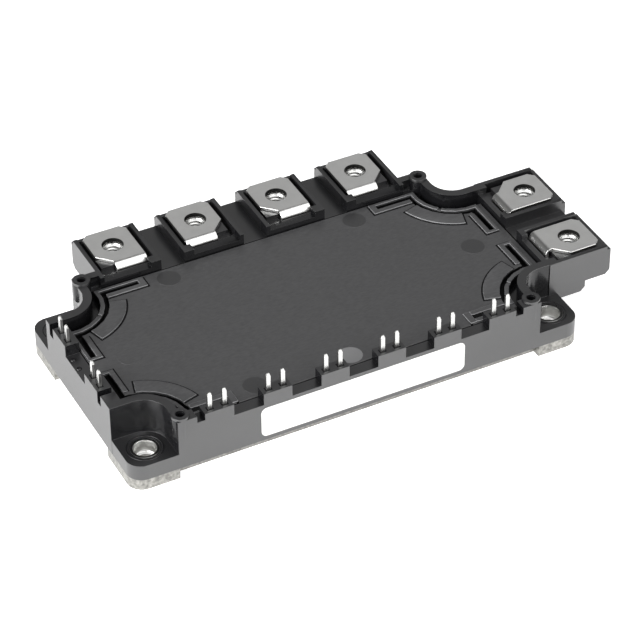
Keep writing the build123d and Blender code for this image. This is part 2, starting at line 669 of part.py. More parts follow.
def chip_places():
    """Centres and sizes of the seven switches and of the seven diodes."""
    switches = []
    diodes = []
    for cx in SUBSTRATE_XS:
        for x in CHIP_XS:
            switches.append((cx + x, IGBT_Y, IGBT_SIZE))
            diodes.append((cx + x, DIODE_Y, DIODE_SIZE))
    lead_x = TERMINALS[0][1]
    switches.append((lead_x + BRAKE_IGBT_ASIDE, BRAKE_Y, BRAKE_IGBT_SIZE))
    diodes.append((lead_x + BRAKE_DIODE_ASIDE, BRAKE_Y, BRAKE_DIODE_SIZE))
    return switches, diodes


def ribbon(start, end):
    """One bond ribbon: a flat-footed arch between two points."""
    run = hypot(end[0] - start[0], end[1] - start[1])
    turn = degrees(atan2(end[1] - start[1], end[0] - start[0]))
    peak = CHIP_TOP_Z + RIBBON_RISE
    t = RIBBON_THICKNESS
    foot = 2 * t
    bend = run / 4
    profile = Polyline(
        (0, start[2]),
        (bend, peak),
        (run - bend, peak),
        (run, end[2]),
        (run - foot, end[2]),
        (run - bend - t / 2, peak - t),
        (bend + t / 2, peak - t),
        (foot, start[2]),
        close=True,
    )
    arch = extrude(Plane.XZ * make_face(profile), RIBBON_WIDTH / 2, both=True)
    return Pos(start[0], start[1], 0) * Rot(0, 0, turn) * arch


def make_ribbons(index):
    """Bond ribbons of one substrate."""
    cx = SUBSTRATE_XS[index]
    start_x = cx + CHIP_XS[0] + RIBBON_LAP
    land_x = cx + RIBBON_LAND_X
    low_x = cx + CHIP_XS[1]
    ends = [
        ((start_x, IGBT_Y, CHIP_TOP_Z), (land_x, IGBT_Y, FOIL_Z)),
        ((start_x, DIODE_Y, CHIP_TOP_Z), (land_x, DIODE_Y, FOIL_Z)),
        ((low_x, RIBBON_UPPER_YS[0], CHIP_TOP_Z), (low_x, RIBBON_UPPER_YS[1], CHIP_TOP_Z)),
        ((low_x, RIBBON_LOWER_YS[0], CHIP_TOP_Z), (low_x, RIBBON_LOWER_YS[1], FOIL_Z)),
    ]
    if index == 0:
        lead_x = TERMINALS[0][1]
        first = lead_x + BRAKE_IGBT_ASIDE + BRAKE_RIBBON_LAP
        last = lead_x + BRAKE_DIODE_ASIDE + BRAKE_RIBBON_LAP - RIBBON_LAP / 2
        ends.append(((first, BRAKE_Y, CHIP_TOP_Z), (last, BRAKE_Y, CHIP_TOP_Z)))
    return [ribbon(start, end) for start, end in ends]


def make_thermistor():
    """Temperature sensor across two small foil islands of the first substrate."""
    x = SUBSTRATE_XS[0] - FOIL_X + THERMISTOR_INSET
    y = (LEFT_PIN_YS[2] + LEFT_PIN_YS[3]) / 2
    half_x = THERMISTOR_WIDTH / 2
    half_y = THERMISTOR_LENGTH / 2
    return box(x - half_x, x + half_x, y - half_y, y + half_y, FOIL_Z, FOIL_Z + THERMISTOR_HEIGHT)


def make_gel():
    """Soft gel round and over the substrates, open where the leads come down on them."""
    half_x = SUBSTRATE_LENGTH / 2
    half_y = SUBSTRATE_WIDTH / 2
    lead_x = min(-LEFT_FOOT_X, LEAD_END_X) - PIN_WIDTH
    lead_y = min(-FRONT_FOOT_Y, LEAD_END_Y) - PIN_WIDTH
    gel = prism(pit_plan(), BASE_THICKNESS, GEL_TOP_Z)
    for cx in SUBSTRATE_XS:
        gel = gel - box(cx - half_x, cx + half_x, -half_y, half_y, BASE_THICKNESS, GEL_UNDER_Z)
    reach = SUBSTRATE_XS[2] + half_x
    low = GEL_UNDER_Z - 1
    for side in (-1, 1):
        ys = sorted((side * lead_y, side * half_y))
        gel = gel - box(-reach, reach, *ys, low, GEL_TOP_Z)
        xs = sorted((side * lead_x, side * reach))
        gel = gel - box(*xs, -half_y, half_y, low, GEL_TOP_Z)
    return gel


def build_all():
    """Every piece by name."""
    parts = {"base_plate": make_base()}
    parts["mounting_bushes"] = make_bushes()
    terminals = []
    for name, x, y, turn, cut_side in TERMINALS:
        parts[name] = make_terminal(x, y, turn, cut_side)
        terminals.append(parts[name])
    parts["terminal_nuts"] = make_nuts()
    pins = make_pins()
    for number, pin in enumerate(pins, 1):
        parts[f"control_pin_{number}"] = pin
    parts["label"] = make_label()
    parts["adhesive_bead"] = make_bead()
    parts["case"] = make_case(terminals + pins + [parts["adhesive_bead"]])
    parts["lid"] = make_lid()
    for index in range(len(SUBSTRATE_XS)):
        bottom, ceramic, top = make_substrate(index)
        parts[f"bottom_foil_{index + 1}"] = bottom
        parts[f"ceramic_{index + 1}"] = ceramic
        parts[f"top_foil_{index + 1}"] = top
        parts[f"bond_ribbons_{index + 1}"] = Compound(children=make_ribbons(index))
    switches, diodes = chip_places()
    for number, place in enumerate(switches, 1):
        parts[f"igbt_chip_{number}"] = chip(*place)
    for number, place in enumerate(diodes, 1):
        parts[f"diode_chip_{number}"] = chip(*place)
    parts["thermistor"] = make_thermistor()
    parts["gel_fill"] = make_gel()
    return parts


os.makedirs("parts", exist_ok=True)
for part_name, shape in build_all().items():
    export_step(shape, f"parts/{part_name}.step")
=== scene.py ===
"""Looks of a power module: its finishes, rounded edges and small moulded details.

Metres, +Z up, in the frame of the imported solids. The values below are in millimetres and degrees,
apart from those of the lamps and the floor, which are in metres.
"""

import json
from math import atan2, cos, pi, radians, sin

import bmesh
import bpy
from mathutils import Matrix, Vector


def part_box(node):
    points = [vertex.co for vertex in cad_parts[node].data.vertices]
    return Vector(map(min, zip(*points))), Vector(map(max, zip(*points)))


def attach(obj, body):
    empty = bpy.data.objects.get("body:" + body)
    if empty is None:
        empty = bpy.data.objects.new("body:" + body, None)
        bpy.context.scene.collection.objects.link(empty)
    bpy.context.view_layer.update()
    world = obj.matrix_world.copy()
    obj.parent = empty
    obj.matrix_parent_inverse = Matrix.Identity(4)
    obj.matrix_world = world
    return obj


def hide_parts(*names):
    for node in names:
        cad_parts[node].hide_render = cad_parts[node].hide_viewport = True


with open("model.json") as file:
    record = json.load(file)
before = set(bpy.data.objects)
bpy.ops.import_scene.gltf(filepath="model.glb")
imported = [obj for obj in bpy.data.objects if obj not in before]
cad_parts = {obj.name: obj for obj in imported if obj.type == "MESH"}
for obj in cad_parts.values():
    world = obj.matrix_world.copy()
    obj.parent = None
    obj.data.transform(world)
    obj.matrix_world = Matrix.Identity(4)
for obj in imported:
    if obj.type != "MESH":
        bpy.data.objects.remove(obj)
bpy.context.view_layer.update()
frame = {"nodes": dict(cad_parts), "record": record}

MM = 0.001
SLOT_OF = {row["node"]: row["material_slot"] for row in frame["record"]["subparts"]}

# Places that the solids have as well
CORNERS = ((-1, -1), (1, -1), (-1, 1), (1, 1))
MOUNT_X = 55.0
MOUNT_Y = 25.0
BOSS_X = 47.25
BOSS_Y = 28.75
TERMINALS = {
    "terminal_b": (-34.29, 38.94),
    "terminal_u": (-11.43, 38.94),
    "terminal_v": (11.43, 38.94),
    "terminal_w": (34.29, 38.94),
    "terminal_p": (68.68, 11.0),
    "terminal_n": (68.68, -11.0),
}
END_TERMINALS = ("terminal_p", "terminal_n")
BASE_TOP_Z = 3.0
EAR_TOP_Z = 7.3
SEAT_Z = 11.9
LID_TOP_Z = 13.9
BOSS_TOP_Z = 17.6
NUT_BOTTOM_Z = 12.0
NUT_TOP_Z = 16.0

# Side on which each terminal's neck is cut narrow
NECK_CUT_SIDE = {
    "terminal_b": -1,
    "terminal_u": 1,
    "terminal_v": -1,
    "terminal_w": 1,
    "terminal_p": -1,
    "terminal_n": 1,
}

# Sleeves in the ears, and the moulded lips round them
SLEEVE_OUTER_R = 3.6
SLEEVE_INNER_R = 2.76
SLEEVE_EDGE = 0.22
SLEEVE_GROOVE_Z = 3.6
SLEEVE_GROOVE_WIDTH = 0.5
SLEEVE_GROOVE_DEPTH = 0.25
EAR_LIP_R = 4.2
EAR_LIP_WIDTH = 0.35
EAR_LIP_HEIGHT = 0.12
EAR_LIP_SUNK = 0.3
EAR_LIP_EDGE = 0.1

# Screw bosses, which stand a trace above those of the solids
BOSS_R = 2.28
BOSS_HOLE_R = 1.15
BOSS_EDGE = 0.15
BOSS_RAISE = 0.02

# Strips of painted shade in the lid's face, round its arc plates
PLATE_REACH = 16.5
PLATE_START = 12.45
PLATE_HALF_ANGLE = 29.0
ARC_STEPS = 24
STRIP_WIDTH = 0.45
STRIP_HEIGHT = 0.02
STRIP_SUNK = 0.1

# Strips of painted shade along the banks, at the back corners only and at all four: ends of x, then ends
# of y
BACK_STRIPS = (
    ((31.8, 42.8), (22.75, 23.2)),
    ((31.35, 31.8), (22.75, 27.0)),
)
END_STRIPS = (
    ((52.55, 53.0), (2.25, 11.7)),
    ((53.0, 56.5), (2.25, 2.7)),
)

# Banks along the front of the lid, round a slot
BANK_TOP_Z = 14.25
BANK_SUNK = 0.2
BANK_EDGE = 0.2
BANK_START_X = 31.4
BANK_YS = (-27.2, -22.9)
SLOT_XS = (33.2, 42.6)
SLOT_YS = (-25.9, -24.4)
# The slot floors stand where the lid's colour is darkened by height, as painted shade for a deep slot
SLOT_FLOOR_Z = 13.97

# Cheeks where the end blocks meet the wells
CHEEK_XS = (58.4, 62.0)
CHEEK_YS = (18.9, 19.27)
CHEEK_ZS = (7.3, 16.9)

# Painted shade of the gaps round the pins: dark patches laid on the top of the blocks
PIN_GAP = 0.3
PIN_GAP_ZS = (16.9, 17.02)
PIN_GAP_REACH = 0.7
PIN_Y = -29.5
PIN_X = -59.4

# Small round bumps on the left wall, between the pin blocks
BUMP_PLACES = ((-59.8, 5.2), (-59.85, 1.5))
BUMP_R = 0.7
BUMP_FLATNESS = 0.6
BUMP_STEPS = 24
WALL_TOP_Z = 13.8

# Marks of the ejector pins in the lid
MARK_R = 3.0
MARK_HEIGHT = 0.02
MARK_STEPS = 48
DARK_MARKS = ((47.3, 0), (-26.0, 23.6), (26.0, 23.6), (-25.3, -23.5))
PLAIN_MARKS = ((-47.3, 0),)
PALE_MARKS = ((0, -24.0),)

# Nuts, seen through the holes of the terminals
TONGUE_HOLE_R = 2.8
HOLE_EDGE_THICKNESS = 0.08
HOLE_EDGE_TOP_Z = 16.96
NUT_MOUTH_R = 2.72
NUT_MOUTH_Z = 15.4
NUT_BORE_R = 2.1
NUT_BORE_TOP_Z = 14.9
NUT_SHELL_R = 2.9

# Thread of the nuts, a ridge with its root sunk in the wall of the bore
THREAD_R = 2.15
THREAD_DEPTH = 0.4
THREAD_ROOT = 0.1
THREAD_WIDTH = 0.7
THREAD_PITCH = 0.8
THREAD_START = 0.1
THREAD_STEPS = 24

# Plastic that closes the slot beside each terminal's neck
NECK_HALF = 6.0
NECK_CUT = 3.5
PLUG_GAP = 0.1
PLUG_YS = (-8.7, -6.5)
PLUG_ZS = (SEAT_Z + 1.0, 14.8)

# Label
LABEL_CORNER_R = 1.5
LABEL_CORNER_STEPS = 6

# Edge roundings
CASE_EDGE = 0.22
LID_EDGE = 0.24
BASE_EDGE = 0.3
TERMINAL_EDGE = 0.16
TERMINAL_EDGE_STEPS = 3
PIN_EDGE = 0.1

# Middle point of a turned edge, as a share of the edge's width
EDGE_MIDDLE = 0.3

# Radius about a terminal's hole within which its edges stay sharp
HOLE_MARGIN_R = 3.4

# Angles above which an edge is rounded, and above which it is shaded sharp
BEVEL_ANGLE = 32.0
SHARP_ANGLE = 35.0

# Limits for joining the loose triangles of a solid and making its flat faces whole
MERGE_DISTANCE = 0.002
FLAT_ANGLE = 0.5

# Steps of a full round
ROUND_STEPS = 64

# Plastic of case and lid
PBT_IOR = 1.57
CASE_ROUGHNESS = 0.34
LID_ROUGHNESS = 0.5

# Factor on the lid's colour, by height: dark in grooves and at the foot of steps as painted shade, bright
# on slopes as painted highlight
LID_PAINTED_SHADE_AND_HIGHLIGHT = (
    (13.55, 0.12),
    (13.7, 1.0),
    (13.93, 1.0),
    (13.94, 0.1),
    (14.03, 0.1),
    (14.06, 6.0),
    (14.2, 6.0),
    (14.24, 1.25),
)

# Factor on the sleeves' colour, by height: darker on the flat rim
SLEEVE_SHADES = (
    (7.0, 1.0),
    (7.2, 1.0),
    (7.29, 0.12),
)

# Painted shade: walls given less shine, and less roughness, in the wells, beside the lid and on the sides
# of the pin blocks
WELL_SIDE = 6.15
INNER_WALL_Y = 27.75
INNER_WALL_LEFT_X = -57.25
BLOCK_SIDE_Y = 30.8
BLOCK_SIDE_LEFT_X = -60.7
BLOCK_SIDE_LOW_Z = 13.87
SHADED_END_X = 58.45
SHADED_LOW_Z = 7.4
SHADED_HIGH_Z = 16.9
SHINE_LOST = 0.65
ROUGHNESS_LOST = 0.16

# Fineness of the noise in grain and tone, and where the change of tone starts and ends
GRAIN_DETAIL = 3.0
TONE_DETAIL = 4.0
TONE_ENDS = (0.3, 0.7)

# Camera, worked out from the straight edges of the photographed module
CAMERA_TARGET = (1.881, -4.272, 10.0)
CAMERA_DISTANCE = 709.681
CAMERA_AZIMUTH = -26.921
CAMERA_ELEVATION = 38.575
CAMERA_ROLL = 0.447
CAMERA_LENS = 162.27
CAMERA_SENSOR = 36.0
CAMERA_CLIP = 10.0

# Floor, from its middle to a side, and the glow that makes it white where it is seen
FLOOR_REACH = 4.0
FLOOR_ROUGHNESS = 0.9
FLOOR_GLOW = 0.8

# Even light from all round
FILL_LIGHT = 0.1

# Lamps: the point that they face, their places and sizes, and their power in watts
LAMP_AIM = (0.005, 0.005, 0.01)
SOFTBOXES = {
    "left_softbox": {"place": (-0.9, -0.2, 0.4), "size": (1.0, 0.7), "power": 18.0},
    "front_softbox": {"place": (0.3, -0.9, 0.35), "size": (1.3, 0.65), "power": 6.0},
    "overhead_softbox": {"place": (0.15, -0.35, 1.0), "size": (1.3, 1.0), "power": 6.5},
    "back_softbox": {"place": (0.42, 0.84, 0.75), "size": (0.9, 0.6), "power": 0.6},
}


def linear(channel):
    """One sRGB channel from 0 to 1 as linear light."""
    if channel <= 0.04045:
        return channel / 12.92
    return ((channel + 0.055) / 1.055) ** 2.4


def tint(code):
    """Linear colour of an sRGB hex code."""
    return tuple(linear(int(code[i:i + 2], 16) / 255) for i in (0, 2, 4)) + (1.0,)


def add_node(tree, kind, settings=None, links=None):
    """Adds a shader node; settings are its own values or its sockets, links its inputs."""
    node = tree.nodes.new(kind)
    for key, value in (settings or {}).items():
        if hasattr(node, str(key)):
            setattr(node, key, value)
        else:
            node.inputs[key].default_value = value
    for key, output in (links or {}).items():
        tree.links.new(output, node.inputs[key])
    return node


def new_material(name, settings):
    """A material with one principled shader; returns it with its tree and shader."""
    material = bpy.data.materials.new(name)
    material.use_nodes = True
    tree = material.node_tree
    shader = tree.nodes["Principled BSDF"]
    for key, value in settings.items():
        shader.inputs[key].default_value = value
    return material, tree, shader


def calculate(tree, operation, first, second=0.0):
    """Result of one step of arithmetic in a shader; each value is a number or an output."""
    values = {0: first, 1: second}
    numbers = {key: value for key, value in values.items() if isinstance(value, (int, float))}
    links = {key: value for key, value in values.items() if key not in numbers}
    node = add_node(tree, "ShaderNodeMath", {"operation": operation, **numbers}, links)
    return node.outputs["Value"]


def all_true(tree, tests):
    """Output that is 1 where every test gives 1, and 0 elsewhere."""
    result = tests[0]
    for test in tests[1:]:
        result = calculate(tree, "MULTIPLY", result, test)
    return result


def object_xyz(tree):
    """Outputs X, Y and Z of a point of the piece, in metres."""
    place = add_node(tree, "ShaderNodeTexCoord")
    split = add_node(tree, "ShaderNodeSeparateXYZ", {}, {0: place.outputs["Object"]})
    return [split.outputs[axis] for axis in "XYZ"]


def noise(tree, size_mm, detail, stretch):
    """Noise with grains of a size in millimetres; a stretch below 1 draws them out along that axis."""
    place = add_node(tree, "ShaderNodeTexCoord")
    turn = add_node(tree, "ShaderNodeMapping", {"Scale": stretch}, {"Vector": place.outputs["Object"]})
    grains = add_node(
        tree, "ShaderNodeTexNoise", {"Scale": 1 / (size_mm * MM), "Detail": detail},
        {"Vector": turn.outputs["Vector"]},
    )
    return grains.outputs["Fac"]


def add_grain(tree, shader, grain_mm, height_mm, stretch=(1, 1, 1)):
    """Fine relief of the surface, its grain width and height in millimetres.

    The real grain is too fine for the picture, so each is drawn as coarse as it needs to show.
    """
    relief = add_node(
        tree, "ShaderNodeBump", {"Strength": 1.0, "Distance": height_mm * MM},
        {"Height": noise(tree, grain_mm, GRAIN_DETAIL, stretch)},
    )
    tree.links.new(relief.outputs["Normal"], shader.inputs["Normal"])


def add_tone(tree, shader, patch_mm, dark, light, stretch=(1, 1, 1)):
    """Slow change of colour over the surface, between two hex colours; returns the ramp."""
    patches = noise(tree, patch_mm, TONE_DETAIL, stretch)
    ramp = add_node(tree, "ShaderNodeValToRGB", {}, {"Fac": patches})
    for stop, position, code in zip(ramp.color_ramp.elements, TONE_ENDS, (dark, light)):
        stop.position = position
        stop.color = tint(code)
    tree.links.new(ramp.outputs["Color"], shader.inputs["Base Color"])
    return ramp


def shade_by_height(tree, shader, tone, levels):
    """Darkens or lightens a surface by height; levels are pairs of a height and a factor."""
    low = levels[0][0]
    high = levels[-1][0]
    limits = {"From Min": low * MM, "From Max": high * MM}
    height = add_node(tree, "ShaderNodeMapRange", limits, {"Value": object_xyz(tree)[2]})
    share = add_node(tree, "ShaderNodeValToRGB", {}, {"Fac": height.outputs["Result"]})
    stops = share.color_ramp.elements
    while len(stops) < len(levels):
        stops.new(1.0)
    for stop, (z, level) in zip(stops, levels):
        stop.position = (z - low) / (high - low)
        stop.color = (level, level, level, 1)
    shaded = add_node(
        tree, "ShaderNodeVectorMath", {"operation": "MULTIPLY"},
        {0: tone.outputs["Color"], 1: share.outputs["Color"]},
    )
    tree.links.new(shaded.outputs["Vector"], shader.inputs["Base Color"])
    shine = calculate(tree, "MINIMUM", share.outputs["Color"], 1.0)
    tree.links.new(shine, shader.inputs["Specular IOR Level"])


def shade_inner_walls(tree, shader):
    """Paints shade on the walls of the wells, beside the lid and on the pin blocks by taking shine from
    them; their roughness is lowered as well.
    """
    x, y, z = object_xyz(tree)
    # A point's distance inwards from the axis of its mounting hole, 0 further out, finds the wells
    out_x = calculate(tree, "ABSOLUTE", x)
    out_y = calculate(tree, "ABSOLUTE", y)
    short_x = calculate(tree, "MAXIMUM", calculate(tree, "SUBTRACT", MOUNT_X * MM, out_x), 0.0)
    short_y = calculate(tree, "MAXIMUM", calculate(tree, "SUBTRACT", MOUNT_Y * MM, out_y), 0.0)
    square_x = calculate(tree, "MULTIPLY", short_x, short_x)
    square_y = calculate(tree, "MULTIPLY", short_y, short_y)
    away = calculate(tree, "SQRT", calculate(tree, "ADD", square_x, square_y))
    in_well = calculate(tree, "LESS_THAN", away, WELL_SIDE * MM)
    beside_lid = all_true(tree, (
        calculate(tree, "LESS_THAN", out_y, INNER_WALL_Y * MM),
        calculate(tree, "GREATER_THAN", x, INNER_WALL_LEFT_X * MM),
    ))
    on_block = all_true(tree, (
        calculate(tree, "LESS_THAN", out_y, BLOCK_SIDE_Y * MM),
        calculate(tree, "GREATER_THAN", x, BLOCK_SIDE_LEFT_X * MM),
        calculate(tree, "GREATER_THAN", z, BLOCK_SIDE_LOW_Z * MM),
    ))
    any_wall = calculate(tree, "MAXIMUM", calculate(tree, "MAXIMUM", in_well, beside_lid), on_block)
    shaded = all_true(tree, (
        any_wall,
        calculate(tree, "LESS_THAN", x, SHADED_END_X * MM),
        calculate(tree, "GREATER_THAN", z, SHADED_LOW_Z * MM),
        calculate(tree, "LESS_THAN", z, SHADED_HIGH_Z * MM),
    ))
    shine = calculate(tree, "SUBTRACT", 1.0, calculate(tree, "MULTIPLY", shaded, SHINE_LOST))
    smoothed = calculate(tree, "MULTIPLY", shaded, ROUGHNESS_LOST)
    roughness = calculate(tree, "SUBTRACT", CASE_ROUGHNESS, smoothed)
    tree.links.new(shine, shader.inputs["Specular IOR Level"])
    tree.links.new(roughness, shader.inputs["Roughness"])


def moulded_pbt():
    """Glass-filled PBT, moulded: nearly black, with a fine eroded grain that spreads the light."""
    material, tree, shader = new_material("moulded_pbt", {"IOR": PBT_IOR})
    add_tone(tree, shader, patch_mm=6.0, dark="121213", light="18181a")
    add_grain(tree, shader, grain_mm=0.3, height_mm=0.012)
    shade_inner_walls(tree, shader)
    return material


def moulded_lid():
    """Glass-filled PBT, moulded flat: greyer and duller than the case, with faint flow streaks.

    Its colour is darkened at its grooves and at the foot of its raised steps, as painted shade, and
    lightened on the slopes above them, as a painted highlight.
    """
    material, tree, shader = new_material("moulded_lid_pbt", {"Roughness": LID_ROUGHNESS, "IOR": PBT_IOR})
    tone = add_tone(tree, shader, patch_mm=0.4, dark="2f2f30", light="3e3e3f", stretch=(0.3, 1, 1))
    shade_by_height(tree, shader, tone, LID_PAINTED_SHADE_AND_HIGHLIGHT)
    add_grain(tree, shader, grain_mm=0.3, height_mm=0.012)
    return material


def pressed_lid(name, code):
    """Lid plastic pressed smooth by an ejector pin, given a darker or a paler colour than the lid round
    it.
    """
    settings = {
        "Base Color": tint(code),
        "Roughness": LID_ROUGHNESS,
        "IOR": PBT_IOR,
        "Specular IOR Level": 1.0,
    }
    material, tree, shader = new_material(name, settings)
    add_grain(tree, shader, grain_mm=0.4, height_mm=0.006)
    return material


def painted_shade_pbt():
    """Painted shade: nearly black PBT with little shine, laid where the lid's steps and the pins' gaps
    stand in shade.
    """
    settings = {
        "Base Color": tint("0a0a0b"),
        "Roughness": LID_ROUGHNESS,
        "IOR": PBT_IOR,
        "Specular IOR Level": 0.15,
    }
    return new_material("painted_shade_pbt", settings)[0]


def tinned_copper():
    """Matt tin on stamped copper: a soft light metal with faint rolling lines."""
    material, tree, shader = new_material("tinned_copper", {"Roughness": 0.28, "Metallic": 1.0})
    add_tone(tree, shader, patch_mm=2.5, dark="e6e6e4", light="eeeeec")
    add_grain(tree, shader, grain_mm=0.25, height_mm=0.004, stretch=(1, 0.15, 1))
    return material


def tinned_brass():
    """Bright tin on punched brass pins: light and smooth."""
    settings = {"Base Color": tint("c8c8c6"), "Roughness": 0.3, "Metallic": 1.0}
    return new_material("tinned_brass", settings)[0]


def nickel_on_copper():
    """Matt nickel on a copper plate: warm grey, spreading reflections widely."""
    material, tree, shader = new_material("nickel_on_copper", {"Roughness": 0.42, "Metallic": 1.0})
    add_tone(tree, shader, patch_mm=0.9, dark="72716e", light="a6a5a0")
    add_grain(tree, shader, grain_mm=0.9, height_mm=0.03)
    return material


def turned_sleeve():
    """Tin-plated brass sleeve, turned: a bright, smooth bore and a darker flat rim."""
    material, tree, shader = new_material("plated_sleeve", {"Roughness": 0.3, "Metallic": 1.0})
    tone = add_tone(tree, shader, patch_mm=1.5, dark="dededc", light="f4f4f2", stretch=(1, 1, 2))
    shade_by_height(tree, shader, tone, SLEEVE_SHADES)
    return material


def zinc_steel():
    """Zinc-plated steel nuts: light metal, a little dull."""
    settings = {"Base Color": tint("e0e0de"), "Roughness": 0.35, "Metallic": 1.0}
    return new_material("zinc_plated_steel", settings)[0]


def painted_hole_shade():
    """Painted shade inside the punched holes: a dark, dull metal beside the tin."""
    settings = {"Base Color": tint("30302f"), "Roughness": 0.6, "Metallic": 1.0}
    return new_material("painted_hole_shade_edge", settings)[0]


def coated_paper():
    """Coated label paper: plain white, with a faint sheen."""
    settings = {"Base Color": tint("f4f4f2"), "Roughness": 0.5, "IOR": 1.45}
    material, tree, shader = new_material("coated_paper", settings)
    add_grain(tree, shader, grain_mm=0.4, height_mm=0.002)
    return material


def plain_finish(name, code, roughness, metallic=0.0, transmission=0.0, ior=1.5):
    """A hidden piece's even finish."""
    settings = {
        "Base Color": tint(code),
        "Roughness": roughness,
        "Metallic": metallic,
        "Transmission Weight": transmission,
        "IOR": ior,
    }
    return new_material(name, settings)[0]


# The finish of each slot; those of the hidden pieces are plain
FINISHES = {
    "case_plastic": moulded_pbt(),
    "lid_plastic": moulded_lid(),
    "nickel_plate": nickel_on_copper(),
    "bush_metal": turned_sleeve(),
    "terminal_tin": tinned_copper(),
    "pin_tin": tinned_brass(),
    "nut_steel": zinc_steel(),
    "label_paper": coated_paper(),
    # Cured silicone bead: pale grey and dull
    "sealant": plain_finish("silicone_sealant", "c4c4c2", 0.55),
    # Rolled copper, bare: reddish, with soft reflections
    "copper_foil": plain_finish("bare_copper", "c98a66", 0.35, metallic=1.0),
    # Sintered alumina, unglazed: off-white and matt
    "ceramic_plate": plain_finish("alumina_ceramic", "f0efe9", 0.6),
    # Silicon with a metal face: bluish grey, with clear reflections
    "silicon": plain_finish("metallised_silicon", "8f929a", 0.25, metallic=1.0),
    # Rolled aluminium, bare: light and satin
    "bond_ribbon": plain_finish("bare_aluminium", "dcdcde", 0.3, metallic=1.0),
    # Soft silicone, poured: clear and wet-looking
    "silicone_gel": plain_finish("clear_silicone_gel", "f2f2ee", 0.08, transmission=0.9, ior=1.41),
    # Sensor chip in a dark ceramic body: dark grey, half dull
    "sensor_body": plain_finish("sensor_ceramic", "3a3a3c", 0.4),
}

# Finish of painted shade for the strips in the lid and the gaps round the pins
PAINTED_SHADE = painted_shade_pbt()


def show(bm, name, slot, finish=None):
    """Makes a mesh a visible piece of the module, with a finish of its own or that of its slot."""
    mesh = bpy.data.meshes.new(name)
    bm.to_mesh(mesh)
    bm.free()
    mesh.materials.append(finish or FINISHES[slot])
    mesh.shade_smooth()
    mesh.set_sharp_from_angle(angle=radians(SHARP_ANGLE))
    piece = bpy.data.objects.new(name, mesh)
    bpy.context.scene.collection.objects.link(piece)
    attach(piece, "root")
    return piece


def round_edges(piece, width, segments=2, limit="ANGLE"):
    """Rounds the sharp edges of a piece, or those given a weight; width in millimetres."""
    bevel = piece.modifiers.new("rounded_edges", "BEVEL")
    bevel.width = width * MM
    bevel.segments = segments
    bevel.limit_method = limit
    bevel.angle_limit = radians(BEVEL_ANGLE)
    bevel.harden_normals = True
    bevel.use_clamp_overlap = True


def merged_copy(node):
    """Mesh of a solid, its loose triangles joined and flat faces made whole."""
    bm = bmesh.new()
    bm.from_mesh(frame["nodes"][node].data)
    bmesh.ops.remove_doubles(bm, verts=bm.verts, dist=MERGE_DISTANCE * MM)
    bmesh.ops.dissolve_limit(bm, angle_limit=radians(FLAT_ANGLE), verts=bm.verts, edges=bm.edges)
    return bm


def rounded_piece(node, name, width):
    """Stands for a solid, with its edges rounded."""
    piece = show(merged_copy(node), name, SLOT_OF[node])
    round_edges(piece, width)
    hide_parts(node)


def terminal_strip(node, x, y):
    """A terminal whose edges are rounded, its punched hole left sharp."""
    bm = merged_copy(node)
    weights = bm.edges.layers.float.new("bevel_weight_edge")
    hole = Vector((x, y)) * MM
    for edge in bm.edges:
        far = max((vert.co.xy - hole).length for vert in edge.verts) > HOLE_MARGIN_R * MM
        if far and edge.is_manifold and edge.calc_face_angle() > radians(BEVEL_ANGLE):
            edge[weights] = 1.0
    piece = show(bm, node + "_strip", SLOT_OF[node])
    round_edges(piece, TERMINAL_EDGE, TERMINAL_EDGE_STEPS, "WEIGHT")
    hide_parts(node)


def lathe(bm, profile, x, y):
    """Adds a closed ring to bm: profile is a loop of (radius, height) in millimetres about (x, y)."""
    ring = [bm.verts.new(((x + r) * MM, y * MM, z * MM)) for r, z in profile]
    edges = [bm.edges.new((ring[i - 1], ring[i])) for i in range(len(ring))]
    bmesh.ops.spin(
        bm, geom=ring + edges, cent=(x * MM, y * MM, 0), axis=(0, 0, 1),
        angle=2 * pi, steps=ROUND_STEPS, use_merge=True,
    )


def tube_profile(inner, outer, low, high, edge):
    """Section of a tube whose upper edges are rounded off in two steps."""
    middle = edge * EDGE_MIDDLE
    return [
        (inner, low),
        (outer, low),
        (outer, high - edge),
        (outer - middle, high - middle),
        (outer - edge, high),
        (inner + edge, high),
        (inner + middle, high - middle),
        (inner, high - edge),
    ]


def sleeves():
    """Metal sleeves in the four ears, with a groove turned in their bore."""
    bm = bmesh.new()
    profile = tube_profile(SLEEVE_INNER_R, SLEEVE_OUTER_R, BASE_TOP_Z, EAR_TOP_Z, SLEEVE_EDGE)
    profile += [
        (SLEEVE_INNER_R, SLEEVE_GROOVE_Z + SLEEVE_GROOVE_WIDTH),
        (SLEEVE_INNER_R + SLEEVE_GROOVE_DEPTH, SLEEVE_GROOVE_Z + SLEEVE_GROOVE_WIDTH / 2),
        (SLEEVE_INNER_R, SLEEVE_GROOVE_Z),
    ]
    for sx, sy in CORNERS:
        lathe(bm, profile, sx * MOUNT_X, sy * MOUNT_Y)
    bmesh.ops.recalc_face_normals(bm, faces=bm.faces)
    piece = show(bm, "mounting_sleeves", "bush_metal")
    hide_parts("mounting_bushes")


def ear_lips():
    """Low moulded lip round each sleeve."""
    bm = bmesh.new()
    low = EAR_TOP_Z - EAR_LIP_SUNK
    high = EAR_TOP_Z + EAR_LIP_HEIGHT
    profile = tube_profile(EAR_LIP_R, EAR_LIP_R + EAR_LIP_WIDTH, low, high, EAR_LIP_EDGE)
    for sx, sy in CORNERS:
        lathe(bm, profile, sx * MOUNT_X, sy * MOUNT_Y)
    bmesh.ops.recalc_face_normals(bm, faces=bm.faces)
    show(bm, "ear_lips", "case_plastic")


def board_bosses():
    """Round bosses with a lead-in at the mouth of their screw holes."""
    bm = bmesh.new()
    profile = tube_profile(BOSS_HOLE_R, BOSS_R, SEAT_Z, BOSS_TOP_Z + BOSS_RAISE, BOSS_EDGE)
    for sx, sy in CORNERS:
        lathe(bm, profile, sx * BOSS_X, sy * BOSS_Y)
    bmesh.ops.recalc_face_normals(bm, faces=bm.faces)
    show(bm, "board_bosses", "case_plastic")


